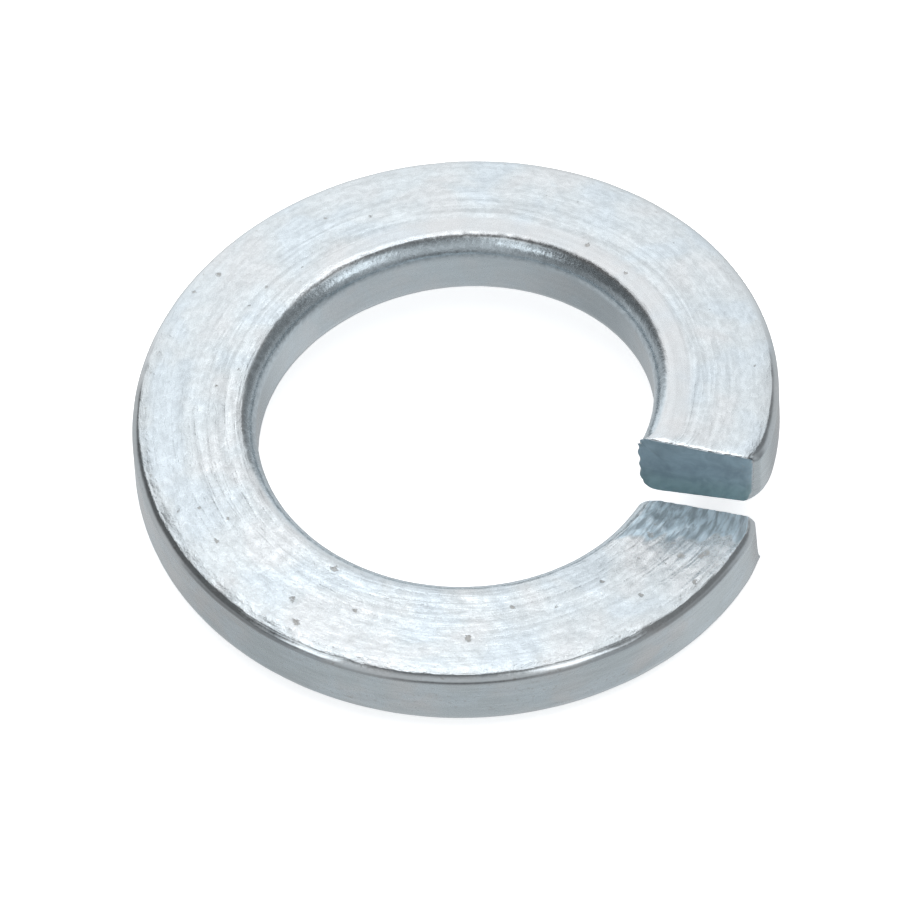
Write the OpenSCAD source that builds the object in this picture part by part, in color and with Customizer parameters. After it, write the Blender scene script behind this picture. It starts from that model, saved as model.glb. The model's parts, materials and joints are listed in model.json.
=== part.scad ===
// Spring lock washer: one coil of rounded spring-steel band, wound left-hand, with sheared ends a step apart.
// The coil's axis is Z, the cut lies on +X and the lowest point of the lower end is at Z = 0. Millimetres.

/* [Ring] */
// Diameter of the bore
bore_d = 12.6; // [8:0.1:24]
// Width of the band between the bore and the outer wall
band_w = 3.95; // [3:0.05:6]
// Thickness of the band at the middle of its width
band_h = 2.35; // [1.9:0.05:3.2]

/* [Coil] */
// Height gained in one full turn
rise = 2.65; // [2.4:0.05:4.5]

/* [Section] */
// Fall of the top face toward the outside, in degrees
top_fall = 4; // [0:0.5:10]
// Fall of the bottom face toward the outside, in degrees
bottom_fall = 0; // [-3:0.5:3]
// Rounding where the top face meets the bore
inner_top_round = 0.7; // [0.3:0.05:0.9]
// Rounding where the bottom face meets the bore
inner_bottom_round = 0.68; // [0.2:0.02:0.8]
// Rounding where the top face meets the outer wall
outer_top_round = 0.32; // [0.2:0.02:0.6]
// Rounding where the bottom face meets the outer wall
outer_bottom_round = 0.5; // [0.2:0.05:0.7]

/* [Cut ends] */
// Distance between the two cut faces, seen from above
cut_gap = 0.12; // [0.1:0.02:1]
// Turn of the cut away from a radius, in degrees
cut_skew = 11; // [0:1:25]
// Lean of the cut faces away from the axis, in degrees
cut_lean = 0.5; // [0:0.5:8]
// Length over which the sheared edge is drawn down
draw_len = 1.1; // [0.4:0.1:2]
// Depth of the drawn-down edge at the cut
draw_depth = 0.06; // [0:0.02:0.3]
// How far the outer wall is pinched in at the cut
pinch = 0.26; // [0:0.02:0.3]
// Height of the burr thrown up at the other edge of the cut
burr_h = 0.02; // [0:0.01:0.12]
// Length over which the burr rises
burr_len = 0.45; // [0.2:0.05:0.8]

/* [Smoothness] */
// Steps round the coil
coil_steps = 112; // [48:4:144]
// Steps in each corner rounding
round_steps = 5; // [3:1:6]

/* [Hidden] */
bore_r = bore_d / 2;
outer_r = bore_r + band_w;
mid_r = bore_r + band_w / 2;
half_h = band_h / 2;
full_turn = 360;
// how far the swept band runs past the bore and the outer wall before the two cylinders trim it
spare = 0.03;
// the share of the turn next to each cut that takes the short steps, and how many there are
end_share = 0.025;
end_steps = 9;
wall_sides = 240;

// Height of the top and bottom faces at a radius, measured from mid-thickness
function top_at(r) = half_h - (r - mid_r) * tan(top_fall);
function bottom_at(r) = -half_h - (r - mid_r) * tan(bottom_fall);

// A corner rounding from one direction to another; the end that meets a wall runs on past it by the spare length
function corner(centre, r, from, to, wall_first) =
    let (
        turn = (to - from) / round_steps,
        arc = [for (i = [0 : round_steps]) centre + r * [cos(from + i * turn), sin(from + i * turn)]],
        last = wall_first ? 0 : round_steps,
        near = wall_first ? 1 : round_steps - 1,
        step = arc[last] - arc[near],
        past = arc[last] + step * spare / abs(step[0])
    )
    [for (i = [0 : round_steps]) i == last ? past : arc[i]];

// Centre of the circle that touches a wall and a sloping face
function top_centre(x, r) = [x, top_at(x) - r / cos(top_fall)];
function bottom_centre(x, r) = [x, bottom_at(x) + r / cos(bottom_fall)];

// Outline of the band, counter-clockwise from the outer wall: radius and height above mid-thickness
section = concat(
    corner(top_centre(outer_r - outer_top_round, outer_top_round), outer_top_round,
        0, 90 - top_fall, true),
    corner(top_centre(bore_r + inner_top_round, inner_top_round), inner_top_round,
        90 - top_fall, 180, false),
    corner(bottom_centre(bore_r + inner_bottom_round, inner_bottom_round), inner_bottom_round,
        180, 270 - bottom_fall, true),
    corner(bottom_centre(outer_r - outer_bottom_round, outer_bottom_round), outer_bottom_round,
        270 - bottom_fall, 360, false)
);
points_round = len(section);

// What shearing does at a distance from the cut. The first edge it meets is drawn toward the middle, the other
// edge is thrown up as a burr, and the outer wall is pinched in, most at the edge that is drawn down.
function fading(distance, length) = pow(max(0, 1 - distance / length), 2);
function sheared(p, distance, drawn_side) =
    let (
        side = max(-1, min(1, p[1] / half_h)) * drawn_side,
        out = max(0, p[0] - mid_r) / (outer_r - mid_r),
        pull = side > 0 ? -draw_depth * fading(distance, draw_len) : -burr_h * fading(distance, burr_len)
    )
    [
        p[0] - pinch * fading(distance, draw_len) * out * (3 + side) / 4,
        p[1] + pull * side * drawn_side
    ];
function near_lower(p, distance) = sheared(p, distance, 1);
function near_upper(p, distance) = sheared(p, distance, -1);

// Angle from +X at which a point of the section meets the cut plane, found by repeated substitution
function cut_angle(p, offset, guess = 0, rounds = 10) =
    rounds == 0 ? guess : cut_angle(p, offset,
        asin((offset + (p[0] * cos(guess) - mid_r) * tan(cut_skew)
            - (p[1] - rise * guess / full_turn) * tan(cut_lean)) / p[0]), rounds - 1);
lower_angle = [for (p = section) cut_angle(near_lower(p, 0), -cut_gap / 2)];
upper_angle = [for (p = section) cut_angle(near_upper(p, 0), cut_gap / 2)];

// Shares of the turn at which the section is placed, close together beside the cuts
stations = concat(
    [for (i = [0 : end_steps - 1]) end_share * i / end_steps],
    [for (i = [0 : coil_steps]) end_share + (1 - 2 * end_share) * i / coil_steps],
    [for (i = [end_steps - 1 : -1 : 0]) 1 - end_share * i / end_steps]
);
rings = len(stations);

// A point of the section carried round the coil, clockwise and upward from the lower end
function placed(k, share) =
    let (
        first = -lower_angle[k],
        last = full_turn - upper_angle[k],
        turned = first + (last - first) * share,
        mm_per_degree = PI / 180 * section[k][0],
        p = share < 0.5 ? near_lower(section[k], (turned - first) * mm_per_degree)
            : near_upper(section[k], (last - turned) * mm_per_degree)
    )
    [p[0] * cos(turned), -p[0] * sin(turned), p[1] + rise * turned / full_turn];
loose_points = [for (i = [0 : rings - 1]) for (k = [0 : points_round - 1]) placed(k, stations[i])];
lowest = min([for (p = loose_points) p[2]]);
highest = max([for (p = loose_points) p[2]]);
coil_points = [for (p = loose_points) p - [0, 0, lowest]];

function corner_id(i, k) = i * points_round + k % points_round;
coil_faces = concat(
    [[for (k = [0 : points_round - 1]) corner_id(0, k)]],
    [[for (k = [points_round - 1 : -1 : 0]) corner_id(rings - 1, k)]],
    [for (i = [0 : rings - 2]) for (k = [0 : points_round - 1]) for (half = [0, 1])
        half == 0 ? [corner_id(i, k), corner_id(i + 1, k), corner_id(i + 1, k + 1)]
            : [corner_id(i, k), corner_id(i + 1, k + 1), corner_id(i, k + 1)]]
);

module washer() {
    margin = 1;
    color([0.72, 0.75, 0.78])
    difference() {
        intersection() {
            polyhedron(points = coil_points, faces = coil_faces, convexity = 6);
            translate([0, 0, -margin])
                cylinder(h = highest - lowest + 2 * margin, r = outer_r, $fn = wall_sides);
        }
        translate([0, 0, -2 * margin])
            cylinder(h = highest - lowest + 4 * margin, r = bore_r, $fn = wall_sides);
    }
}

washer();
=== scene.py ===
"""Looks of a left-hand spring lock washer: one coil of rounded, zinc-plated band with two sheared ends.

The band's section is drawn and rounded with mesh operators, wound by a screw modifier and closed at both
ends. The rings are then set closer beside the cuts and given what shearing, rolling and handling leave on such
a washer.
"""
import json
import math
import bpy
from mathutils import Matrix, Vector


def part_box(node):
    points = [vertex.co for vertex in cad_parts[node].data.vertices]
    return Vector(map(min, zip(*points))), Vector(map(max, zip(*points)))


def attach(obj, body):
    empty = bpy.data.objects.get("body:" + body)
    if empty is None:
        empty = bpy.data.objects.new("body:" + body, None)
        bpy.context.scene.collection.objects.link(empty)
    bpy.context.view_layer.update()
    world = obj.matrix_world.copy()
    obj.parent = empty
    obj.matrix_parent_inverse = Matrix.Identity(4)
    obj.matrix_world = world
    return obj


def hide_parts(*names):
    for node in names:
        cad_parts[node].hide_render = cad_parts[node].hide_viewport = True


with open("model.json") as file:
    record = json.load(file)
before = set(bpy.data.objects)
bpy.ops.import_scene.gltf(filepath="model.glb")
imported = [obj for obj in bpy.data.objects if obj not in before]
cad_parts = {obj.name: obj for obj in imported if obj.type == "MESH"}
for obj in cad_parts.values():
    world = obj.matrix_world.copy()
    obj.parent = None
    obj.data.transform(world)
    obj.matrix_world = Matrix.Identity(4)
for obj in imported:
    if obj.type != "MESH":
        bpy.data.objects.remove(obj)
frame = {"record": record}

from types import SimpleNamespace

import bmesh
import bpy
import numpy as np
from mathutils import Matrix, Vector

bl_info = {
    "name": "Spring lock washer",
    "version": (1, 0, 0),
    "blender": (4, 5, 0),
    "location": "View3D > Sidebar > Washer",
    "description": "Builds a zinc-plated spring lock washer and the light table that it lies on",
    "category": "Add Mesh",
}

MM = 0.001
TURN = 2 * math.pi
CAD_NODE = "washer"
BODY = "root"
PIECE = "spring_washer"
# how far apart the cut faces lie from the rest on the strip map, in millimetres
CAP_APART = 100

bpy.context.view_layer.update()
node_low, node_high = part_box(CAD_NODE)
record_bore = next(m for m in frame["record"]["mounts"] if m["name"] == "bore")
BORE_R = record_bore["dims"]["r_mm"]
OUTER_R = (node_high.x - node_low.x) / 2 / MM
TOP = node_high.z / MM
# how far the highest point stays below the node's top, in millimetres
TOP_SPARE = 0.001

# Fineness of the mesh: cuts in the section's straight sides, steps in its roundings, spacing of the rings at
# a cut and far from it with the distance over which it grows, in millimetres, and how a cap's loops shrink
TOP_CUTS, BOTTOM_CUTS, OUTER_CUTS, BORE_CUTS = 40, 22, 18, 12
OUTER_STEPS, INNER_TOP_STEPS, INNER_BOTTOM_STEPS = 9, 14, 10
RING_NEAR, RING_FAR, RING_GROWTH = 0.02, 0.089, 1.5
CAP_SHRINK = (0.98, 0.968, 0.955, 0.945, 0.93, 0.9, 0.84, 0.74, 0.5)

# Marks of rolling and shearing, in millimetres: depth, wavelength and seed of each swell on the faces, the
# folds and the streaks behind them, the rolled-off edge of the top face, and the torn edge by the bore
SWELLS = ((0.0035, 1.3, 3), (0.0022, 0.5, 4))
FOLD_DEPTH, STREAK_DEPTH = 0.024, 0.012
ROLL_DEPTH, ROLL_WIDTH = 0.031, 0.34
TORN_DEPTH, TORN_BUMPS = 0.09, 0.035
# how far the lower cut's outer corner is thrown out, and how far the upper cut's is drawn in, in millimetres
THROWN_OUT, DRAWN_IN = 0.19, 0.16
# slope of the bent lip, and how far the roundings at both cuts are squeezed square, in millimetres
LIP_SLOPE, SQUARE_HIGH, SQUARE_LOW = 0.10, 0.46, 0.40


class WasherSizes(bpy.types.PropertyGroup):
    """Sizes of the coil and of its two cut ends, in millimetres and degrees."""

    bore_r: bpy.props.FloatProperty(
        name="Bore radius", description="Radius of the bore, in millimetres", default=BORE_R, min=1)
    outer_r: bpy.props.FloatProperty(
        name="Outer radius", description="Radius of the outer wall, in millimetres", default=OUTER_R, min=2)
    band_h: bpy.props.FloatProperty(
        name="Band thickness", description="Thickness of the band at mid-width, in millimetres",
        default=2.35, min=0.5)
    rise: bpy.props.FloatProperty(
        name="Rise", description="Height gained in one turn, in millimetres", default=2.65, min=2.4)
    top_fall: bpy.props.FloatProperty(
        name="Top fall", description="Fall of the top face toward the outside", default=math.radians(4),
        subtype="ANGLE")
    inner_top_round: bpy.props.FloatProperty(
        name="Inner top rounding", description="Rounding between the top face and the bore, in millimetres",
        default=0.7, min=0.1)
    inner_bottom_round: bpy.props.FloatProperty(
        name="Inner bottom rounding",
        description="Rounding between the bottom face and the bore, in millimetres", default=0.68, min=0.1)
    outer_top_round: bpy.props.FloatProperty(
        name="Outer top rounding",
        description="Rounding between the top face and the outer wall, in millimetres", default=0.32,
        min=0.1)
    outer_bottom_round: bpy.props.FloatProperty(
        name="Outer bottom rounding",
        description="Rounding between the bottom face and the outer wall, in millimetres", default=0.5,
        min=0.1)
    cut_gap: bpy.props.FloatProperty(
        name="Cut gap", description="Distance between the cut faces seen from above, in millimetres",
        default=0.12, min=0.02)
    cut_skew: bpy.props.FloatProperty(
        name="Cut skew", description="Turn of the cut away from a radius", default=math.radians(11),
        subtype="ANGLE")
    cut_lean: bpy.props.FloatProperty(
        name="Cut lean", description="Lean of the cut faces away from the axis", default=math.radians(0.5),
        subtype="ANGLE")
    draw_len: bpy.props.FloatProperty(
        name="Draw length", description="Length over which the sheared edge is drawn down, in millimetres",
        default=1.1, min=0.1)
    draw_depth: bpy.props.FloatProperty(
        name="Draw depth", description="Depth of the drawn-down edge at the cut, in millimetres",
        default=0.06, min=0)
    pinch: bpy.props.FloatProperty(
        name="Pinch", description="How far the outer wall is pinched in at the cut, in millimetres",
        default=0.26, min=0)
    burr_h: bpy.props.FloatProperty(
        name="Burr height", description="Height of the burr at the other edge of the cut, in millimetres",
        default=0.02, min=0)
    burr_len: bpy.props.FloatProperty(
        name="Burr length", description="Length over which the burr rises, in millimetres", default=0.45,
        min=0.1)


class WasherFinish(bpy.types.PropertyGroup):
    """Colours of the zinc."""

    face_zinc: bpy.props.FloatVectorProperty(
        name="Face zinc", description="Zinc on the top and bottom faces", default=(0.612, 0.650, 0.672),
        size=3, subtype="COLOR", min=0, max=1)
    cool_zinc: bpy.props.FloatVectorProperty(
        name="Cool zinc", description="Faint blue tint in the passivated zinc",
        default=(0.575, 0.650, 0.715), size=3, subtype="COLOR", min=0, max=1)
    warm_zinc: bpy.props.FloatVectorProperty(
        name="Warm zinc", description="Faint warm tint in the passivated zinc", default=(0.68, 0.655, 0.65),
        size=3, subtype="COLOR", min=0, max=1)
    # partly painted shade: the walls' drawn zinc, set darker than the face zinc to stand in for the shade on
    # the walls
    wall_zinc_and_shade: bpy.props.FloatVectorProperty(
        name="Wall zinc", description="Zinc on the drawn outer and inner walls",
        default=(0.545, 0.60, 0.625), size=3, subtype="COLOR", min=0, max=1)
    cut_zinc: bpy.props.FloatVectorProperty(
        name="Cut zinc", description="Dull zinc on the sheared faces", default=(0.25, 0.345, 0.405), size=3,
        subtype="COLOR", min=0, max=1)
    cut_teal: bpy.props.FloatVectorProperty(
        name="Cut teal", description="Greener zinc low on the sheared faces", default=(0.24, 0.36, 0.38),
        size=3, subtype="COLOR", min=0, max=1)
    folded_zinc: bpy.props.FloatVectorProperty(
        name="Folded zinc", description="Darker zinc where the shear has folded the top face",
        default=(0.50, 0.595, 0.66), size=3, subtype="COLOR", min=0, max=1)
    bore_zinc: bpy.props.FloatVectorProperty(
        name="Bore zinc", description="Bluer zinc on the rounding between the top face and the bore",
        default=(0.575, 0.645, 0.69), size=3, subtype="COLOR", min=0, max=1)
    pit_brown: bpy.props.FloatVectorProperty(
        name="Pit brown", description="Dull colour inside the small pits", default=(0.34, 0.31, 0.28),
        size=3, subtype="COLOR", min=0, max=1)


class TableLook(bpy.types.PropertyGroup):
    """The pale table, its soft lights and the camera."""

    camera_turn: bpy.props.FloatProperty(
        name="Camera turn", description="Turn of the camera from looking along +Y",
        default=math.radians(24.38), subtype="ANGLE")
    camera_height: bpy.props.FloatProperty(
        name="Camera height", description="Angle of the camera above the table",
        default=math.radians(49.93), subtype="ANGLE")
    camera_roll: bpy.props.FloatProperty(
        name="Camera roll", description="Roll of the camera about its own axis",
        default=math.radians(-3.375), subtype="ANGLE")
    camera_distance: bpy.props.FloatProperty(
        name="Camera distance", description="Distance from the camera to the point it looks at",
        default=0.4398, unit="LENGTH")
    camera_aim: bpy.props.FloatVectorProperty(
        name="Camera aim", description="Point that the camera looks at",
        default=(-0.000547, 0.000639, 0.000710), size=3, unit="LENGTH")
    lens: bpy.props.FloatProperty(
        name="Lens", description="Focal length, in millimetres", default=553.5)
    frame_width: bpy.props.FloatProperty(
        name="Frame width", description="Width of the camera's frame, in millimetres", default=36)
    nearest: bpy.props.FloatProperty(
        name="Nearest", description="Distance at which the camera begins to see", default=0.01,
        unit="LENGTH")
    farthest: bpy.props.FloatProperty(
        name="Farthest", description="Distance at which the camera stops seeing", default=10, unit="LENGTH")
    table_half: bpy.props.FloatProperty(
        name="Table half width", description="Half the width of the table top", default=0.6, unit="LENGTH")
    table_glow: bpy.props.FloatProperty(
        name="Table glow", description="Strength of the table's own light", default=0.66, min=0)
    paper_dark: bpy.props.FloatVectorProperty(
        name="Paper dark", description="Darker clouds in the table's paper", default=(0.90, 0.90, 0.905),
        size=3, subtype="COLOR", min=0, max=1)
    paper_light: bpy.props.FloatVectorProperty(
        name="Paper light", description="Lighter clouds in the table's paper", default=(0.91, 0.91, 0.91),
        size=3, subtype="COLOR", min=0, max=1)
    lamp_height: bpy.props.FloatProperty(
        name="Lamp height", description="Height of the lamp over the table", default=0.3, unit="LENGTH")
    lamp_strength: bpy.props.FloatProperty(
        name="Lamp strength", description="Strength of the lamp over the table", default=1.6, min=0)
    lamp_spread: bpy.props.FloatProperty(
        name="Lamp spread", description="Angle over which the lamp is spread", default=math.radians(60),
        subtype="ANGLE")
    room_tint: bpy.props.FloatVectorProperty(
        name="Room tint", description="Colour of the light from the room", default=(0.965, 0.985, 1.0),
        size=3, subtype="COLOR", min=0, max=1)


def sizes():
    return bpy.context.scene.washer_sizes


def finish():
    return bpy.context.scene.washer_finish


def deselect_all():
    bpy.ops.object.select_all(action="DESELECT")


def set_mode(mode):
    bpy.ops.object.mode_set(mode=mode)


# The section: drawn on the +X side in the XZ plane, radius along X and height above mid-thickness along Z

def pick(obj, wanted, kind="verts"):
    """Selects the vertices or edges of the mesh in edit mode for which wanted is true, and nothing else."""
    mesh = bmesh.from_edit_mesh(obj.data)
    for part in (mesh.verts, mesh.edges, mesh.faces):
        for element in part:
            element.select = False
    chosen = [element for element in getattr(mesh, kind) if wanted(element)]
    for element in chosen:
        element.select = True
    mesh.select_flush_mode()
    bmesh.update_edit_mesh(obj.data)
    return len(chosen)


def round_corner(obj, corner, radius, opening, steps):
    """Rounds one corner of the section, whose two sides meet at the angle opening, to a radius."""
    pick(obj, lambda vertex: (vertex.co - corner).length < 0.02 * MM)
    reach = radius / math.tan(opening / 2) * MM
    bpy.ops.mesh.bevel(offset=reach, segments=steps, affect="VERTICES", profile=0.5)


def draw_section(size):
    """The rounded outline of the band, as a closed loop of edges."""
    width = size.outer_r - size.bore_r
    middle = (size.outer_r + size.bore_r) / 2
    half_h = size.band_h / 2
    edge_fall = width / 2 * math.tan(size.top_fall)
    deselect_all()
    bpy.ops.mesh.primitive_plane_add(size=MM, location=(middle * MM, 0, 0), rotation=(math.pi / 2, 0, 0))
    band = bpy.context.object
    band.name = PIECE
    bpy.ops.object.transform_apply(location=True, rotation=True, scale=True)
    set_mode("EDIT")
    bpy.ops.mesh.select_mode(type="VERT")
    bpy.ops.mesh.select_all(action="SELECT")
    bpy.ops.transform.resize(value=(width, 1, size.band_h), center_override=(middle * MM, 0, 0))
    for side in (-1, 1):
        pick(band, lambda vertex: vertex.co.z > 0 and (vertex.co.x / MM - middle) * side > 0)
        bpy.ops.transform.translate(value=(0, 0, -side * edge_fall * MM))
    square = math.pi / 2
    inner, outer = size.bore_r * MM, size.outer_r * MM
    corners = (
        ((outer, 0, (half_h - edge_fall) * MM), size.outer_top_round, square + size.top_fall, OUTER_STEPS),
        ((inner, 0, (half_h + edge_fall) * MM), size.inner_top_round, square - size.top_fall, INNER_TOP_STEPS),
        ((inner, 0, -half_h * MM), size.inner_bottom_round, square, INNER_BOTTOM_STEPS),
        ((outer, 0, -half_h * MM), size.outer_bottom_round, square, OUTER_STEPS),
    )
    for corner, radius, opening, steps in corners:
        round_corner(band, Vector(corner), radius, opening, steps)
    divide_sides(band, inner, outer, half_h * MM)
    bpy.ops.mesh.select_mode(type="VERT")
    bpy.ops.mesh.select_all(action="SELECT")
    bpy.ops.mesh.delete(type="ONLY_FACE")
    set_mode("OBJECT")
    return band


def divide_sides(band, inner, outer, half_h):
    """Divides the four straight sides of the section, the only long edges that it has."""
    long_edge, near = 0.4 * MM, 0.01 * MM
    sides_and_cuts = (
        (lambda co: co.z > 0.8 * half_h, TOP_CUTS),
        (lambda co: co.z < -0.98 * half_h, BOTTOM_CUTS),
        (lambda co: co.x > outer - near, OUTER_CUTS),
        (lambda co: co.x < inner + near, BORE_CUTS),
    )
    bpy.ops.mesh.select_mode(type="EDGE")
    for on_side, cuts in sides_and_cuts:
        found = pick(band, lambda edge: edge.calc_length() > long_edge
                     and all(on_side(vertex.co) for vertex in edge.verts), "edges")
        if found != 1:
            raise RuntimeError("a side of the section wasn't found")
        bpy.ops.mesh.subdivide(number_cuts=cuts)


def ring_places(length, near, far, reach):
    """Distances along the coil at which the section is placed, close together beside both cuts."""
    half = [0.0]
    while half[-1] < length / 2:
        half.append(half[-1] + near + (far - near) * min(1.0, half[-1] / reach))
    half = [place * (length / 2) / half[-1] for place in half]
    return half + [length - place for place in reversed(half[:-1])]


def wind(band, size, places):
    """One left-hand turn of the section, with as many rings as there are places."""
    screw = band.modifiers.new("coil", "SCREW")
    screw.axis = "Z"
    screw.angle = -TURN
    screw.screw_offset = size.rise * MM
    screw.steps = screw.render_steps = len(places) - 1
    screw.use_merge_vertices = False
    deselect_all()
    band.select_set(True)
    bpy.context.view_layer.objects.active = band
    bpy.ops.object.modifier_apply(modifier=screw.name)


def close_end(band, height, middle, size):
    """Closes the open end of the coil whose section lies around a height, with loops that shrink inward."""
    on_section = 1e-3 * MM
    half = 0.55 * size.band_h * MM
    bpy.ops.mesh.select_mode(type="EDGE")
    pick(band, lambda edge: all(abs(v.co.y) < on_section and abs(v.co.z - height) < half for v in edge.verts)
         and len(edge.link_faces) == 1, "edges")
    bpy.ops.mesh.edge_face_add()
    bpy.ops.mesh.select_mode(type="FACE")
    centre = (middle * MM, 0, height)
    for share in CAP_SHRINK:
        bpy.ops.mesh.extrude_region()
        bpy.ops.transform.resize(value=(share, 1, share), center_override=centre)
    bpy.ops.mesh.poke()


class Coil:
    """The wound mesh as arrays: where each vertex lies in the section and along the coil, in millimetres."""

    def __init__(self, band, size, places):
        mesh = band.data
        self.mesh = mesh
        self.size = size
        co = np.empty(len(mesh.vertices) * 3)
        mesh.vertices.foreach_get("co", co)
        co = co.reshape(-1, 3) / MM
        self.middle = (size.bore_r + size.outer_r) / 2
        turned = np.mod(-np.arctan2(co[:, 1], co[:, 0]), TURN)
        rings = len(places) - 1
        ring = np.rint(turned / TURN * rings).astype(int) % rings
        ring[(ring == 0) & (co[:, 2] > size.rise / 2)] = rings
        self.ring = ring
        self.share = np.array(places)[ring] / places[-1]
        self.r = np.hypot(co[:, 0], co[:, 1])
        self.h = co[:, 2] - size.rise * ring / rings
        self.walk_round()

    def walk_round(self):
        """Finds the section's outline, each vertex's place and outward direction on it, and the cap."""
        first = np.where(self.ring == 1)[0]
        around = self.bearing(self.r[first], self.h[first])
        order = first[np.argsort(around)]
        self.outline = np.stack([self.r[order], self.h[order]], 1)
        after = np.roll(self.outline, -1, 0)
        before = np.roll(self.outline, 1, 0)
        along = after - before
        along /= np.linalg.norm(along, axis=1)[:, None]
        self.outline_out = np.stack([along[:, 1], -along[:, 0]], 1)
        steps = np.linalg.norm(after - self.outline, axis=1)
        self.girth = steps.sum()
        self.outline_v = np.concatenate([[0], np.cumsum(steps)[:-1]])
        nearest = self.nearest_outline(self.r, self.h)
        self.out = self.outline_out[nearest]
        self.v = self.outline_v[nearest]
        self.depth = np.linalg.norm(self.outline[nearest] - np.stack([self.r, self.h], 1), axis=1)
        self.depth[self.depth < 1e-3] = 0
        self.at_low = self.ring == 0
        self.at_high = self.ring == self.ring.max()
        self.cap = (self.at_low | self.at_high) & (self.depth > 0)

    def bearing(self, r, h):
        """Direction of a section point from the middle, counter-clockwise from straight down."""
        return np.mod(np.arctan2(h, r - self.middle) + math.pi / 2, TURN)

    def nearest_outline(self, r, h):
        """Index of the outline point nearest to each section point."""
        nearest = np.zeros(len(r), int)
        batch = 2000
        for start in range(0, len(r), batch):
            part = slice(start, start + batch)
            gap = (r[part, None] - self.outline[:, 0]) ** 2 + (h[part, None] - self.outline[:, 1]) ** 2
            nearest[part] = gap.argmin(1)
        return nearest


def fading(distance, length):
    return np.clip(1 - distance / length, 0, None) ** 2


def smooth_step(low, high, value):
    share = np.clip((value - low) / (high - low), 0, 1)
    return share * share * (3 - 2 * share)


def ripples(x, y, wavelength, seed, waves=28):
    """A smooth random field with a mean of 0 and a spread of about 1, made of plane waves."""
    dice = np.random.default_rng(seed)
    total = np.zeros_like(x)
    for _ in range(waves):
        way = dice.uniform(0, TURN)
        number = TURN / (wavelength * dice.uniform(0.7, 1.5))
        total += np.sin(number * (x * math.cos(way) + y * math.sin(way)) + dice.uniform(0, TURN))
    return total / math.sqrt(waves / 2)


def sheared(size, r, h, distance, drawn_side, middle):
    """A section point after shearing, at a distance from the cut: drawn edge, pinch and burr."""
    side = np.clip(h / (size.band_h / 2), -1, 1) * drawn_side
    out = np.clip(r - middle, 0, None) / (size.outer_r - middle)
    drawn = -size.draw_depth * fading(distance, size.draw_len)
    thrown = -size.burr_h * fading(distance, size.burr_len)
    pull = np.where(side > 0, drawn, thrown)
    pinched = size.pinch * fading(distance, size.draw_len) * out * (3 + side) / 4
    return r - pinched, h + pull * side * drawn_side


def cut_turn(size, r, h, offset, middle):
    """Angle from +X at which section points meet a cut plane, by repeated substitution."""
    guess = np.zeros_like(r)
    for _ in range(10):
        reach = offset + (r * np.cos(guess) - middle) * math.tan(size.cut_skew)
        guess = np.arcsin((reach - (h - size.rise * guess / TURN) * math.tan(size.cut_lean)) / r)
    return guess


def shape_coil(coil):
    """Moves every vertex to its place on the real coil and returns the new positions in millimetres."""
    size, middle = coil.size, coil.middle
    r, h, share = coil.r, coil.h, coil.share
    first = -cut_turn(size, *sheared(size, r, h, 0, 1, middle), -size.cut_gap / 2, middle)
    last = TURN - cut_turn(size, *sheared(size, r, h, 0, -1, middle), size.cut_gap / 2, middle)
    turned = first + (last - first) * share
    coil.from_low = (turned - first) * r
    coil.from_high = (last - turned) * r
    coil.low_half = share < 0.5
    distance = np.where(coil.low_half, coil.from_low, coil.from_high)
    new_r, new_h = sheared(size, r, h, distance, np.where(coil.low_half, 1, -1), middle)
    out_r, out_h = coil.out[:, 0], coil.out[:, 1]

    inward, along = break_edges(coil, distance)
    along = along - thrown_corner(coil)
    turned = turned + np.where(coil.low_half, along, -along) / r
    coil.length_at = turned * middle
    raised = unevenness(coil) - inward - pits(coil)
    filled_r, filled_h = filled_corner(coil)
    new_r = new_r + raised * out_r + torn_bore_edge(coil) - drawn_corner(coil) + filled_r
    new_h = new_h + raised * out_h + filled_h

    z = new_h + size.rise * turned / TURN
    z = np.clip(z - z[~coil.cap].min(), 0, TOP - TOP_SPARE)
    new_r = np.minimum(new_r, size.outer_r)
    return np.stack([new_r * np.cos(turned), -new_r * np.sin(turned), z], 1)


def sides(coil):
    """How far each vertex is on the outer wall, on the top face and on the bore wall, from 0 to 1."""
    out_r, out_h = coil.out[:, 0], coil.out[:, 1]
    return smooth_step(0.2, 0.95, out_r), smooth_step(0.2, 0.95, out_h), smooth_step(0.2, 0.95, -out_r)


def edge_rounds(coil):
    """Rounding of the edge between the band and the lower and the upper cut face, round the section."""
    outside, above, inside = sides(coil)
    ragged = ripples(coil.v, coil.v, 0.45, 11)
    low = 0.022 + 0.015 * outside + 0.003 * ragged
    high = 0.018 + (0.33 + 0.10 * above) * outside + 0.02 * inside + 0.003 * ragged
    return np.clip(low, 0.012, None), np.clip(high, 0.012, None)


def break_edges(coil, distance):
    """Rounds the edges of both cut faces: how far each vertex sinks into the band and moves back along it."""
    edge_low, edge_high = edge_rounds(coil)
    edge = np.where(coil.low_half, edge_low, edge_high)
    reach = np.where(coil.cap, coil.depth, distance)
    bend = math.pi / 4 * (1 + np.clip(reach / edge, 0, 1))
    in_reach = reach < edge
    shift = np.where(in_reach, edge * (1 - np.cos(bend)) - reach, 0)
    sink = np.where(in_reach, edge * (1 - np.sin(bend)), 0)
    return np.where(coil.cap, shift, sink), np.where(coil.cap, sink, shift)


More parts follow.
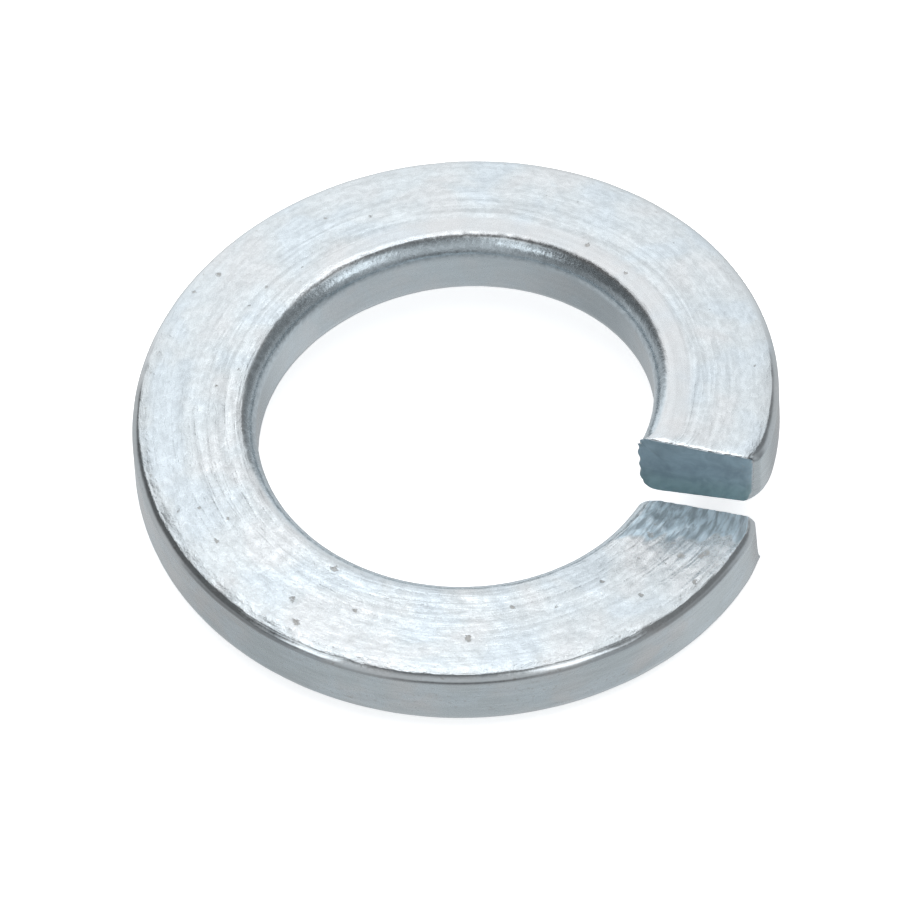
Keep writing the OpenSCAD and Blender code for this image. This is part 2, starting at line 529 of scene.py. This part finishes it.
def unevenness(coil):
    """Soft waves, folds over the lower cut with streaks behind them, the upper cut's lip and a rolled edge."""
    top = smooth_step(0.9, 0.99, coil.out[:, 1])
    u, v = coil.length_at, coil.v
    swell = sum(depth * ripples(u, v, wavelength, seed) for depth, wavelength, seed in SWELLS)
    across = (coil.r - coil.size.bore_r) / (coil.size.outer_r - coil.size.bore_r)
    fold_reach = 2.35 - 1.2 * across + 0.16 * ripples(v, v, 0.8, 5)
    coil.folded = smooth_step(0, 0.3, 1 - coil.from_low / fold_reach) * top * coil.low_half
    cells = 0.7 - np.abs(ripples(u * 0.45, v, 0.42, 6))
    streaks = np.abs(ripples(u * 0.14, v, 0.42, 7)) - 0.7
    trail = np.exp(-coil.from_low / 3.0) * top * coil.low_half * smooth_step(0, 0.5, coil.from_low)
    by_bore = smooth_step(0.36, 0.2, across)
    lip_reach = 0.24 - 0.10 * across + 0.12 * by_bore + 0.03 * ripples(v, v, 0.5, 8)
    lip = LIP_SLOPE * lip_reach * fading(coil.from_high, lip_reach) * top * ~coil.low_half
    edge = coil.size.outer_r - coil.size.outer_top_round - coil.r
    rolled = ROLL_DEPTH * (1 + 0.12 * ripples(u, u, 1.6, 9)) * fading(np.clip(edge, 0, None), ROLL_WIDTH)
    rolled = rolled * smooth_step(0, 0.9, coil.out[:, 1])
    raised = swell * (0.3 + 0.7 * top) - rolled
    raised = raised + FOLD_DEPTH * coil.folded * cells + STREAK_DEPTH * trail * streaks - lip
    return np.where(coil.cap, 0, raised)


def torn_bore_edge(coil):
    """The upper cut's bore edge is torn: set back from the bore, with a few bumps."""
    inside = smooth_step(0.3, 0.95, -coil.out[:, 0]) * ~coil.low_half
    torn = TORN_DEPTH + TORN_BUMPS * ripples(coil.v, coil.v, 0.55, 21)
    near = np.where(coil.cap, fading(coil.depth, 0.5), fading(coil.from_high, 0.45))
    return inside * torn * near


def squeezed(coil, way_r, way_h, wall_r, radius, fall, amount):
    """Fills a rounding toward a square corner by an amount; the faces beside it slide along to follow."""
    half_h, over_flat, over_wall = coil.size.band_h / 2, 1.6, 1.2
    out_r, out_h = way_r * coil.out[:, 0], way_h * coil.out[:, 1]
    flat, wall = out_h > 0.99, out_r > 0.99
    rounding = (out_r > 0) & (out_h > 0) & ~flat & ~wall
    beside_flat = np.clip(1 - (np.abs(coil.r - wall_r) - radius) / over_flat, 0, 1)
    wall_end = half_h + abs(coil.middle - wall_r) * fall - radius
    beside_wall = np.clip(1 - (wall_end - way_h * coil.h) / over_wall, 0, 1)
    slide_r = np.where(flat, beside_flat, np.where(rounding, 1 - out_r, 0))
    slide_h = np.where(rounding, 1 - out_h, np.where(wall, beside_wall, 0))
    slide_h = np.where(flat, beside_flat * fall, slide_h)
    return way_r * amount * slide_r, way_h * amount * slide_h


def filled_corner(coil):
    """Nearly square corners: bore and top face at the upper cut, outer wall and bottom face at the lower."""
    size = coil.size
    near_high = np.where(coil.cap, fading(coil.depth, 1.2), fading(coil.from_high, 0.6)) * ~coil.low_half
    near_low = np.where(coil.cap, fading(coil.depth, 1.2), fading(coil.from_low, 0.7)) * coil.low_half
    fall = math.tan(size.top_fall)
    high = squeezed(coil, -1, 1, size.bore_r, size.inner_top_round, fall, SQUARE_HIGH * near_high)
    low = squeezed(coil, 1, -1, size.outer_r, size.outer_bottom_round, 0, SQUARE_LOW * near_low)
    return high[0] + low[0], high[1] + low[1]


def thrown_corner(coil):
    """The outer bottom corner of the lower cut is thrown out past the cut, as a burr."""
    corner = smooth_step(0.1, 0.6, coil.out[:, 0]) * coil.low_half
    low_on_wall = smooth_step(-0.35, -1.0, coil.h)
    near = np.where(coil.cap, fading(coil.depth, 0.5), fading(coil.from_low, 0.3))
    return THROWN_OUT * corner * low_on_wall * near


def drawn_corner(coil):
    """The outer corner of the top face is pulled in toward the upper cut."""
    outside, above = coil.out[:, 0], coil.out[:, 1]
    corner = smooth_step(0.0, 0.5, outside) * smooth_step(-0.6, 0.6, above) * ~coil.low_half
    return DRAWN_IN * corner * fading(coil.from_high, 1.3) * ~coil.cap


# Small pits in the top face: how many, their narrowest and widest and their depth, in millimetres
PIT_COUNT = 46
PIT_WIDTHS = (0.11, 0.31)
PIT_DEPTH = 0.012
# the stretch of the coil that has pits, in degrees from the lower cut
PIT_TURNS = (10, 345)


def scattered_pits(size):
    """Turn round the coil, radius and width of each pit: more of them near the lower cut, and few wide ones."""
    dice = np.random.default_rng(31)
    inmost = size.bore_r + size.inner_top_round
    outmost = size.outer_r - size.outer_top_round - PIT_WIDTHS[0]
    for _ in range(PIT_COUNT):
        turn = PIT_TURNS[0] + (PIT_TURNS[1] - PIT_TURNS[0]) * dice.uniform() ** 1.5
        radius = dice.uniform(inmost, outmost)
        wide = PIT_WIDTHS[0] + (PIT_WIDTHS[1] - PIT_WIDTHS[0]) * dice.uniform() ** 2.5
        yield math.radians(turn), radius, wide


def pits(coil):
    """Depth of the pits at each vertex. How near each vertex is to a pit is kept for the finish."""
    coil.pit = np.full(len(coil.r), -1.0)
    depth = np.zeros(len(coil.r))
    top = coil.out[:, 1] > 0.5
    for turn, radius, wide in scattered_pits(coil.size):
        along = (coil.length_at / coil.middle - turn) * coil.r
        near = 1 - np.hypot(along, coil.r - radius) / (wide / 2)
        near = np.where(top, near, -1)
        coil.pit = np.maximum(coil.pit, np.clip(near, -1, 1))
        depth += PIT_DEPTH * smooth_step(0, 0.8, near)
    return depth


def write_places(coil):
    """Keeps what the finish reads: a strip map in millimetres and three attributes."""
    mesh = coil.mesh
    corner = np.empty(len(mesh.loops), np.int64)
    mesh.loops.foreach_get("vertex_index", corner)
    u, v = coil.length_at[corner], coil.v[corner]
    starts = np.empty(len(mesh.polygons), np.int64)
    counts = np.empty(len(mesh.polygons), np.int64)
    mesh.polygons.foreach_get("loop_start", starts)
    mesh.polygons.foreach_get("loop_total", counts)
    face_of = np.repeat(np.arange(len(starts)), counts)
    widest = np.maximum.reduceat(v, starts)[face_of]
    v = np.where(widest - v > coil.girth / 2, v + coil.girth, v)
    at_end = (coil.at_low | coil.at_high)[corner].astype(int)
    on_cap = np.minimum.reduceat(at_end, starts)[face_of] > 0
    u = np.where(on_cap, CAP_APART * np.where(coil.at_high[corner], 2, 1) + coil.r[corner], u)
    v = np.where(on_cap, coil.h[corner], v)
    strip = mesh.uv_layers.new(name="strip")
    strip.data.foreach_set("uv", np.stack([u, v], 1).astype(np.float32).ravel())

    edge_low, edge_high = edge_rounds(coil)
    edge = np.where(coil.low_half, edge_low, edge_high)
    cut_from = np.where(coil.cap, coil.depth, -np.minimum(coil.from_low, coil.from_high)) / edge
    save_vector(mesh, "lie", coil.r - coil.size.bore_r, coil.out[:, 1], coil.out[:, 0])
    farthest = 9
    save_vector(mesh, "ends", np.minimum(coil.from_low, farthest), np.minimum(coil.from_high, farthest),
                np.clip(cut_from, -3, 3))
    save_vector(mesh, "marks", coil.folded, coil.pit)


def save_vector(mesh, name, *columns):
    """Keeps up to three numbers for each vertex; the ones that aren't given stay 0."""
    attribute = mesh.attributes.new(name, "FLOAT_VECTOR", "POINT")
    values = np.zeros((len(mesh.vertices), 3), np.float32)
    for place, column in enumerate(columns):
        values[:, place] = column
    attribute.data.foreach_set("vector", values.ravel())


# Finish: every texture is read from the strip map, in millimetres, or from the attributes

class Nodes:
    """Short calls for building a node tree."""

    def __init__(self, tree):
        tree.nodes.clear()
        self.tree = tree
        self.column = 0

    def add(self, kind, inputs=(), **settings):
        node = self.tree.nodes.new(kind)
        self.column += 1
        node.location = (180 * (self.column // 6), -220 * (self.column % 6))
        for key, value in settings.items():
            setattr(node, key, value)
        for key, value in dict(inputs).items():
            if isinstance(value, bpy.types.NodeSocket):
                self.tree.links.new(value, node.inputs[key])
            else:
                node.inputs[key].default_value = value
        return node

    def math(self, operation, a, b=0.0):
        return self.add("ShaderNodeMath", {0: a, 1: b}, operation=operation).outputs[0]

    def plus(self, a, b):
        return self.math("ADD", a, b)

    def minus(self, a, b):
        return self.math("SUBTRACT", a, b)

    def times(self, a, b):
        return self.math("MULTIPLY", a, b)

    def larger(self, a, b):
        return self.math("MAXIMUM", a, b)

    def centred(self, noise):
        """A noise brought to a mean of about 0."""
        return self.minus(noise, 0.5)

    def ramp(self, value, low, high, to_low=0.0, to_high=1.0):
        """A smooth step of a value from one level to another."""
        return self.add("ShaderNodeMapRange", {"Value": value, "From Min": low, "From Max": high,
                                               "To Min": to_low, "To Max": to_high},
                        interpolation_type="SMOOTHSTEP").outputs["Result"]

    def attribute(self, name):
        out = self.add("ShaderNodeAttribute", attribute_name=name, attribute_type="GEOMETRY").outputs["Vector"]
        return self.add("ShaderNodeSeparateXYZ", {0: out}).outputs

    def blend(self, share, first, second):
        """A number between two others."""
        return self.add("ShaderNodeMix", {"Factor": share, 2: first, 3: second}, data_type="FLOAT").outputs[0]

    def mix(self, share, first, second):
        """A colour between two others."""
        node = self.add("ShaderNodeMix", {"Factor": share}, data_type="RGBA")
        for socket, value in ((node.inputs[6], first), (node.inputs[7], second)):
            if isinstance(value, bpy.types.NodeSocket):
                self.tree.links.new(value, socket)
            else:
                socket.default_value = (*value, 1)
        return node.outputs[2]

    def tone(self, colour, factor):
        """A colour made lighter or darker by a factor."""
        node = self.add("ShaderNodeVectorMath", {0: colour, "Scale": factor}, operation="SCALE")
        return node.outputs["Vector"]

    def noise(self, place, scale, detail=2.0, roughness=0.5, distortion=0.0, stretch=(1, 1, 1)):
        """Noise between about 0.2 and 0.8, with scale in features per millimetre."""
        moved = self.add("ShaderNodeVectorMath", {0: place, 1: tuple(scale * s for s in stretch)},
                         operation="MULTIPLY").outputs["Vector"]
        return self.add("ShaderNodeTexNoise", {"Vector": moved, "Scale": 1.0, "Detail": detail,
                                               "Roughness": roughness, "Distortion": distortion}).outputs["Fac"]

    def bump(self, height, depth, below=None):
        """Relief of a height from 0 to 1, its full depth in millimetres."""
        inputs = {"Strength": 1.0, "Distance": depth * MM, "Height": height}
        if below is not None:
            inputs["Normal"] = below
        return self.add("ShaderNodeBump", inputs).outputs["Normal"]

    def end(self, kind, shader):
        """Closes the tree with an output node that takes the shader."""
        self.add(kind, {"Surface": shader.outputs[0]})


def new_material(name):
    """A material with an empty node tree, and the calls that fill the tree."""
    material = bpy.data.materials.new(name)
    material.use_nodes = True
    return material, Nodes(material.node_tree)


def zinc_places(n):
    """Noises that the zinc varies by, and masks from 0 to 1 of where each kind of surface is."""
    at = SimpleNamespace()
    strip = n.add("ShaderNodeUVMap", uv_map="strip").outputs["UV"]
    at.along, at.around = n.add("ShaderNodeSeparateXYZ", {0: strip}).outputs[:2]
    across, upward, at.outward = n.attribute("lie")
    from_low, from_high, cut_from = n.attribute("ends")
    folded, pit = n.attribute("marks")[:2]

    at.grain = n.noise(strip, 9, 4, 0.7)
    at.peel = n.noise(strip, 5.5, 3, 0.6, 0.6, (0.7, 1, 1))
    at.mottle = n.noise(strip, 1.1, 3, 0.55, 0.6)
    at.tint = n.noise(strip, 0.5, 2, 0.5, 0.3)
    at.scratch = n.noise(strip, 6, 4, 0.65, 0.2, (0.12, 1, 1))
    at.scales = n.noise(strip, 4.6, 4, 0.62, 0.25, (0.25, 1, 1))
    at.crust = n.noise(strip, 1.6, 5, 0.62, 0.5)
    streak = n.noise(strip, 4.6, 3, 0.6, 0.5, (0.06, 1, 1))
    lines = n.math("ABSOLUTE", n.centred(n.noise(strip, 3.4, 1, 0.5, 0.4, (0.16, 1, 1))))
    ragged = n.times(n.centred(at.grain), 0.25)

    at.flat_top = n.ramp(n.plus(upward, n.times(ragged, 0.3)), 0.93, 0.975)
    at.wall = n.ramp(upward, 0.30, 0.0)
    at.bore_side = n.times(n.ramp(at.outward, -0.1, -0.35), n.ramp(upward, 0.97, 0.85))
    at.bore_round = n.times(at.bore_side, n.ramp(upward, 0.15, 0.55))
    by_bore = n.times(n.ramp(across, 1.35, 1.05), n.ramp(at.along, 24, 38))
    at.land = n.times(by_bore, n.ramp(upward, 0.86, 0.95))
    at.textured = n.times(at.flat_top, n.ramp(at.land, 0, 1, 1.0, 0.3))
    at.near_low = n.times(at.flat_top, n.ramp(from_low, 3.6, 2.0))
    at.lip = n.times(at.flat_top, n.ramp(from_high, 0.3, 0.15))
    at.cut = n.ramp(n.plus(cut_from, n.times(ragged, 1.6)), 0.1, 0.5)
    at.fold_zone = n.ramp(n.plus(folded, n.times(n.centred(at.mottle), 0.9)), 0.1, 0.7)
    at.pitted = n.ramp(n.plus(pit, n.times(ragged, 11)), 0.1, 0.5)

    # specks near the outer edge, marks on the walls, ridges behind the folds and the brushing of the top face
    specks = n.times(n.ramp(n.noise(strip, 7, 3, 0.7), 0.58, 0.66), n.ramp(across, 3.2, 3.6))
    specks = n.times(specks, n.ramp(at.mottle, 0.4, 0.55))
    wall_marks = n.ramp(n.noise(strip, 2.6, 3, 0.6, 0.0, (0.5, 1, 1)), 0.70, 0.75, 0, 0.7)
    at.blemish = n.larger(n.larger(at.pitted, n.times(wall_marks, at.wall)), n.times(specks, 0.6))
    after_folds = n.times(at.flat_top, n.ramp(from_low, 6.0, 0.5, 0.0, 0.8))
    at.ridges = n.times(n.minus(lines, 0.1), after_folds)
    brushed = n.ramp(n.plus(across, n.times(at.tint, 2.5)), 4.2, 2.2, 0.25, 1.0)
    at.brush = n.times(n.centred(streak), n.times(brushed, at.textured))
    return at


def face_colour(n, at, look):
    """Zinc of the top and bottom faces: faint tints, grain and brushing, and a warmer land beside the bore."""
    face = n.mix(n.ramp(at.tint, 0.48, 0.66, 0, 0.32), look.face_zinc, look.warm_zinc)
    face = n.mix(n.ramp(at.tint, 0.50, 0.36, 0, 0.40), face, look.cool_zinc)
    tones = (
        (at.grain, 0.3, 0.7, 0.96, 1.03),
        (at.mottle, 0.3, 0.7, 0.97, 1.03),
        (n.times(n.centred(at.peel), at.textured), -0.16, 0.16, 0.93, 1.07),
        (at.brush, -0.13, 0.13, 0.89, 1.10),
        (at.ridges, -0.08, 0.08, 0.92, 1.12),
    )
    for tone in tones:
        face = n.tone(face, n.ramp(*tone))
    return n.mix(n.times(at.land, 0.3), face, look.warm_zinc)


def zinc_colour(n, at, look):
    """The colour of the whole band: faces, walls, bore, folds, cut faces and blemishes, with painted shade on
    the walls and on the bore wall toward the upper end.
    """
    # the walls take the darker wall zinc, partly painted shade, with warm and blue tints at random
    side = n.mix(n.ramp(at.tint, 0.4, 0.7, 0, 0.5), look.wall_zinc_and_shade, look.warm_zinc)
    side = n.mix(n.ramp(at.mottle, 0.42, 0.65, 0, 0.6), side, look.bore_zinc)
    side = n.tone(side, n.ramp(at.scratch, 0.3, 0.65, 0.93, 1.04))
    # painted shade: the bore wall darkens to 0.8 between 34 and 44 mm along the coil, toward the upper end; the
    # grain varies its tone at random
    bore_shade_and_grain = n.times(n.ramp(at.along, 34, 44, 1.0, 0.8), n.ramp(at.grain, 0.3, 0.7, 0.94, 1.05))
    bore_wall = n.tone(n.mix(0.5, look.bore_zinc, side), bore_shade_and_grain)
    bore_rounding = n.tone(look.bore_zinc, n.ramp(at.peel, 0.35, 0.65, 0.88, 1.10))
    upper = n.mix(at.bore_side, face_colour(n, at, look), bore_rounding)
    colour = n.mix(at.wall, upper, n.mix(at.bore_side, side, bore_wall))
    folds = n.tone(look.folded_zinc, n.ramp(at.scales, 0.36, 0.64, 0.66, 1.30))
    colour = n.mix(at.fold_zone, colour, folds)
    dull = n.mix(n.ramp(at.around, 0.1, -0.9, 0, 0.8), look.cut_zinc, look.cut_teal)
    dull = n.tone(dull, n.ramp(at.crust, 0.3, 0.7, 0.84, 1.14))
    colour = n.mix(at.cut, colour, dull)
    return n.mix(n.times(at.blemish, 0.55), colour, look.pit_brown)


def zinc_roughness(n, at):
    """Satin faces, smoother roundings and lip, and rough cuts, folds and pits."""
    rough = n.ramp(at.flat_top, 0, 1, 0.17, 0.27)
    changes = ((at.wall, 0.10), (at.bore_round, 0.07), (at.lip, -0.13), (at.cut, 0.22),
               (n.larger(at.fold_zone, at.pitted), 0.15))
    for where, change in changes:
        rough = n.plus(rough, n.times(where, change))
    return n.plus(rough, n.ramp(at.grain, 0.3, 0.7, -0.03, 0.05))


def zinc_relief(n, at):
    """Relief in layers, each with its depth in millimetres, from the grain to the pits."""
    outer_edge = n.times(n.ramp(at.outward, 0.02, 0.12), n.ramp(at.outward, 0.9, 0.6))
    rubbed = n.plus(1.0, n.times(n.larger(outer_edge, at.bore_round), 0.8))
    peeled = n.larger(at.textured, n.times(at.bore_round, 0.7))
    layers = (
        (n.times(n.centred(at.grain), rubbed), 0.0015),
        (n.times(n.centred(at.peel), peeled), 0.014),
        (at.brush, 0.030),
        (n.times(n.centred(at.scales), at.fold_zone), 0.06),
        (at.ridges, 0.15),
        (n.times(at.scratch, at.wall), 0.0015),
        (at.pitted, -0.006),
    )
    relief = None
    for height, depth in layers:
        relief = n.bump(height, depth, relief)
    return relief


def zinc_material(look):
    """Bright zinc on rolled band: satin faces, smooth roundings, drawn walls and dull sheared ends."""
    material, n = new_material("zinc_plate")
    at = zinc_places(n)
    metal = n.minus(n.ramp(at.cut, 0, 1, 1.0, 0.6), n.times(n.larger(at.fold_zone, at.near_low), 0.45))
    shader = n.add("ShaderNodeBsdfPrincipled", {
        "Base Color": zinc_colour(n, at, look), "Metallic": metal,
        "Roughness": zinc_roughness(n, at), "Normal": zinc_relief(n, at)})
    n.end("ShaderNodeOutputMaterial", shader)
    return material


class WASHER_OT_coil(bpy.types.Operator):
    """Winds the coil, closes its ends and finishes it"""

    bl_idname = "washer.coil"
    bl_label = "Spring washer"

    def execute(self, context):
        size = sizes()
        middle = (size.bore_r + size.outer_r) / 2
        places = ring_places(TURN * middle, RING_NEAR, RING_FAR, RING_GROWTH)
        band = draw_section(size)
        wind(band, size, places)
        set_mode("EDIT")
        close_end(band, 0.0, middle, size)
        close_end(band, size.rise * MM, middle, size)
        bpy.ops.mesh.select_all(action="SELECT")
        bpy.ops.mesh.normals_make_consistent(inside=False)
        set_mode("OBJECT")
        coil = Coil(band, size, places)
        moved = shape_coil(coil) * MM
        band.data.vertices.foreach_set("co", moved.ravel())
        band.data.update()
        write_places(coil)
        bpy.ops.object.shade_smooth()
        band.data.materials.append(zinc_material(finish()))
        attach(band, BODY)
        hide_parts(CAD_NODE)
        return {"FINISHED"}


# The table, its light and the camera

def table_material(look):
    """Pale, faintly clouded paper that glows a little, so that it shows plain."""
    material, n = new_material("pale_table")
    paper = n.add("ShaderNodeTexCoord").outputs["Object"]
    cloud = n.add("ShaderNodeTexNoise", {"Vector": paper, "Scale": 60.0, "Detail": 2.0}).outputs["Fac"]
    white = n.mix(n.ramp(cloud, 0.3, 0.7), look.paper_dark, look.paper_light)
    shader = n.add("ShaderNodeBsdfPrincipled", {
        "Base Color": white, "Roughness": 0.9, "Specular IOR Level": 0.0,
        "Emission Color": white, "Emission Strength": look.table_glow})
    n.end("ShaderNodeOutputMaterial", shader)
    return material


def room_light(look):
    """The room that the metal mirrors: dim walls, a bright panel behind the table and small ones beside it."""
    world = bpy.data.worlds.new("soft_room")
    world.use_nodes = True
    bpy.context.scene.world = world
    n = Nodes(world.node_tree)
    way = n.add("ShaderNodeTexCoord").outputs["Generated"]
    turned = n.add("ShaderNodeVectorRotate", {"Vector": way, "Angle": -look.camera_turn},
                   rotation_type="Z_AXIS").outputs["Vector"]
    x, y, z = n.add("ShaderNodeSeparateXYZ", {0: turned}).outputs
    # degrees above the horizon, degrees round from the camera's side, and the same without its sign
    height = n.times(n.math("ARCSINE", z), 180 / math.pi)
    turn = n.times(n.math("ARCTAN2", x, n.times(y, -1.0)), 180 / math.pi)
    aside = n.math("ABSOLUTE", turn)

    def span(value, low, high, soft):
        """1 between two levels, falling softly to 0 outside them."""
        return n.times(n.ramp(value, low - soft, low + soft), n.ramp(value, high + soft, high - soft))

    def panel(level, strength, turns, heights, soft):
        """Puts a soft-edged panel of a strength over what is there, between two turns and two heights."""
        share = n.times(span(*turns, soft), span(height, *heights, soft))
        return n.blend(share, level, strength)

    below = 0.68
    for strength, turns, soft in ((0.59, (turn, -120, -60), 15), (0.80, (turn, 80, 118), 10),
                                  (0.52, (turn, 136, 172), 8)):
        below = panel(below, strength, turns, (-90, -20), soft)
    walls = n.ramp(aside, 55, 85, 0.42, 0.64)
    sky = n.ramp(x, -0.4, 0.4, 0.14, 0.24)
    level = n.blend(n.ramp(height, 8, 28), n.ramp(height, -45, -12, below, walls), sky)

    front = n.ramp(height, 66, 40, 0.40, 0.64)
    glow = n.plus(n.ramp(height, -10, 45, 0.98, 1.18), n.ramp(height, 60, 73, 0.0, 1.4))
    glow = n.plus(glow, n.times(n.ramp(height, 48, 57), n.ramp(x, 0.04, 0.22, 0.0, 0.16)))
    glow = n.times(glow, n.ramp(x, 0.35, -0.35, 0.95, 1.12))
    panels = (
        (front, (aside, -30, 42), (12, 68), 9),
        (0.20, (aside, -30, 20), (-12, 12), 6),
        (0.33, (turn, 58, 92), (-16, 16), 6),
        (0.28, (turn, -92, -52), (-16, 16), 6),
        (glow, (aside, 143, 200), (-18, 81), 5),
        (1.3, (turn, 124, 150), (52, 78), 7),
        (1.9, (turn, 30, 54), (30, 64), 5),
        (1.7, (turn, 54, 86), (64, 72), 5),
        (2.0, (turn, -60, -42), (33, 62), 5),
        (1.8, (turn, -88, -56), (62, 74), 5),
    )
    for strength, turns, heights, soft in panels:
        level = panel(level, strength, turns, heights, soft)
    background = n.add("ShaderNodeBackground", {"Color": (*look.room_tint, 1.0), "Strength": level})
    n.end("ShaderNodeOutputWorld", background)


def lay_table(look):
    bpy.ops.mesh.primitive_plane_add(size=2 * look.table_half, location=(0, 0, 0))
    table = bpy.context.object
    table.name = "table_top"
    table.data.materials.append(table_material(look))
    table.visible_glossy = False


def hang_lamp(look):
    bpy.ops.object.light_add(type="SUN", location=(0, 0, look.lamp_height), rotation=(0, 0, 0))
    lamp = bpy.context.object
    lamp.name = "table_light"
    lamp.data.energy = look.lamp_strength
    lamp.data.angle = look.lamp_spread
    lamp.visible_glossy = False


def set_camera(look):
    bpy.ops.object.camera_add()
    camera = bpy.context.object
    camera.name = "camera"
    camera.data.lens = look.lens
    camera.data.sensor_width = look.frame_width
    camera.data.clip_start = look.nearest
    camera.data.clip_end = look.farthest
    facing = Matrix.Rotation(look.camera_turn, 4, "Z")
    facing = facing @ Matrix.Rotation(math.pi / 2 - look.camera_height, 4, "X")
    facing = facing @ Matrix.Rotation(look.camera_roll, 4, "Z")
    away = facing.to_3x3() @ Vector((0, 0, look.camera_distance))
    camera.matrix_world = Matrix.Translation(Vector(look.camera_aim) + away) @ facing
    bpy.context.scene.camera = camera


class WASHER_OT_stage(bpy.types.Operator):
    """Lays the pale table, lights it softly and sets the camera"""

    bl_idname = "washer.stage"
    bl_label = "Table, light and camera"

    def execute(self, context):
        look = context.scene.table_look
        deselect_all()
        lay_table(look)
        room_light(look)
        hang_lamp(look)
        set_camera(look)
        context.scene.view_settings.view_transform = "Standard"
        return {"FINISHED"}


class WASHER_PT_panel(bpy.types.Panel):
    """Lists the washer's operators in the sidebar"""

    bl_idname = "WASHER_PT_panel"
    bl_label = "Spring lock washer"
    bl_space_type = "VIEW_3D"
    bl_region_type = "UI"
    bl_category = "Washer"

    def draw(self, context):
        for operator in OPERATORS:
            self.layout.operator(operator.bl_idname)
        for group in (context.scene.washer_sizes, context.scene.washer_finish, context.scene.table_look):
            box = self.layout.box()
            for name in group.__annotations__:
                box.prop(group, name)


GROUPS = (("washer_sizes", WasherSizes), ("washer_finish", WasherFinish), ("table_look", TableLook))
OPERATORS = (WASHER_OT_coil, WASHER_OT_stage)


def register():
    for name, group in GROUPS:
        bpy.utils.register_class(group)
        setattr(bpy.types.Scene, name, bpy.props.PointerProperty(type=group))
    for shown in (*OPERATORS, WASHER_PT_panel):
        bpy.utils.register_class(shown)


def unregister():
    for shown in (WASHER_PT_panel, *reversed(OPERATORS)):
        bpy.utils.unregister_class(shown)
    for name, group in reversed(GROUPS):
        delattr(bpy.types.Scene, name)
        bpy.utils.unregister_class(group)


def main():
    register()
    bpy.ops.washer.coil()
    bpy.ops.washer.stage()


if __name__ == "__main__":
    main()
